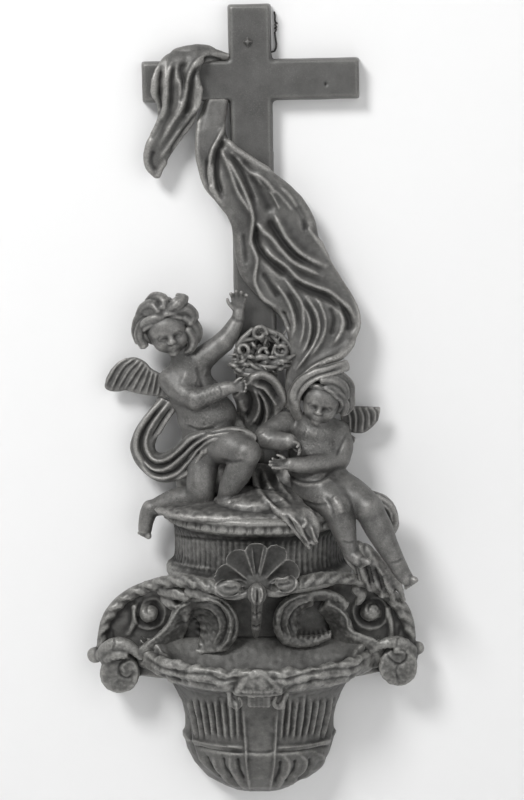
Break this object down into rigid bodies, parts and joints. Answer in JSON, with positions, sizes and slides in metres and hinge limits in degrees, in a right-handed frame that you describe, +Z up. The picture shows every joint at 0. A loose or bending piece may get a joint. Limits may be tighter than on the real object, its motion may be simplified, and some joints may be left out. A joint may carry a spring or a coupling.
{
  "type": "wall holy water stoup with draped cross",
  "caption": "Half-round wall stoup under a draped Latin cross, with two winged children on a fluted drum, a scrolled console, a shell and a gadrooned basin.",
  "frame": {"origin": "on the flat back, at the middle of the crossing of the cross", "axes": "+Z up along the post of the cross, -Y to the front, +Y into the wall, +X to the viewer's right"},
  "size_m": [0.2026, 0.0707, 0.4628],
  "materials": {
    "patinated_bronze": "dark brown-black patina, rubbed lighter on the high places, with a pitted cast skin",
    "dark_iron": "blackened, dull"
  },
  "bodies": {
    "root": {"stoup_casting": "patinated_bronze", "titulus_nail": "dark_iron", "hanging_wire": "dark_iron"}
  },
  "joints": []
}
